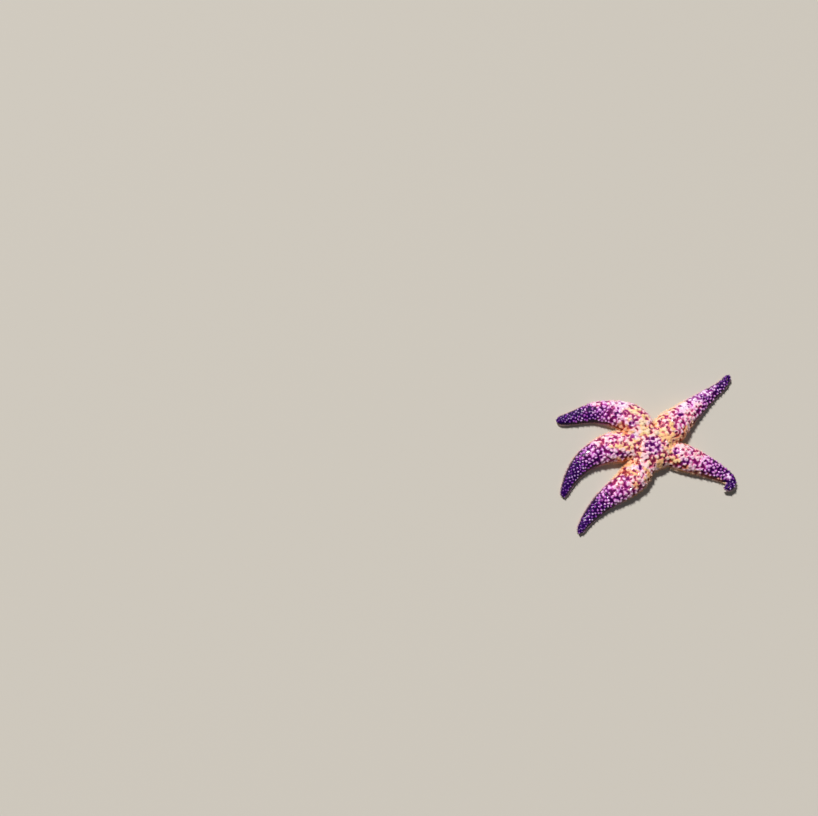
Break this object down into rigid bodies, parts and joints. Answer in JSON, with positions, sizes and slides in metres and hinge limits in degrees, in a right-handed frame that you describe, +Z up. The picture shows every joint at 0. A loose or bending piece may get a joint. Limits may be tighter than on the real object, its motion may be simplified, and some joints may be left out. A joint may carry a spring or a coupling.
{
  "type": "five-armed sea star",
  "caption": "Life-size sea star lying flat on its underside, with tapering, curving arms set with short blunt spines and a grooved sole.",
  "frame": {"origin": "middle of the whole star's outline seen from above, on the plane that it rests on", "axes": "+Z up, out of the star's back; +X towards the two arms on the right, along the star's greatest width; +Y completes the right-handed set, with arm 1 pointing between +X and +Y"},
  "size_m": [0.1631, 0.1478, 0.0171],
  "materials": {
    "skin": "wet, knobbly living skin over small limy plates, cream and orange on the disc, violet towards the arm tips",
    "madreporite": "limy plate, finely furrowed, damp",
    "eyespot": "soft and wet"
  },
  "bodies": {
    "root": {"disc": "skin", "madreporite": "madreporite", "arm_1_base": "skin", "arm_1_middle": "skin", "arm_1_tip": "skin", "eyespot_1": "eyespot", "arm_2_base": "skin", "arm_2_middle": "skin", "arm_2_tip": "skin", "eyespot_2": "eyespot", "arm_3_base": "skin", "arm_3_middle": "skin", "arm_3_tip": "skin", "eyespot_3": "eyespot", "arm_4_base": "skin", "arm_4_middle": "skin", "arm_4_tip": "skin", "eyespot_4": "eyespot", "arm_5_base": "skin", "arm_5_middle": "skin", "arm_5_tip": "skin", "eyespot_5": "eyespot"}
  },
  "joints": []
}
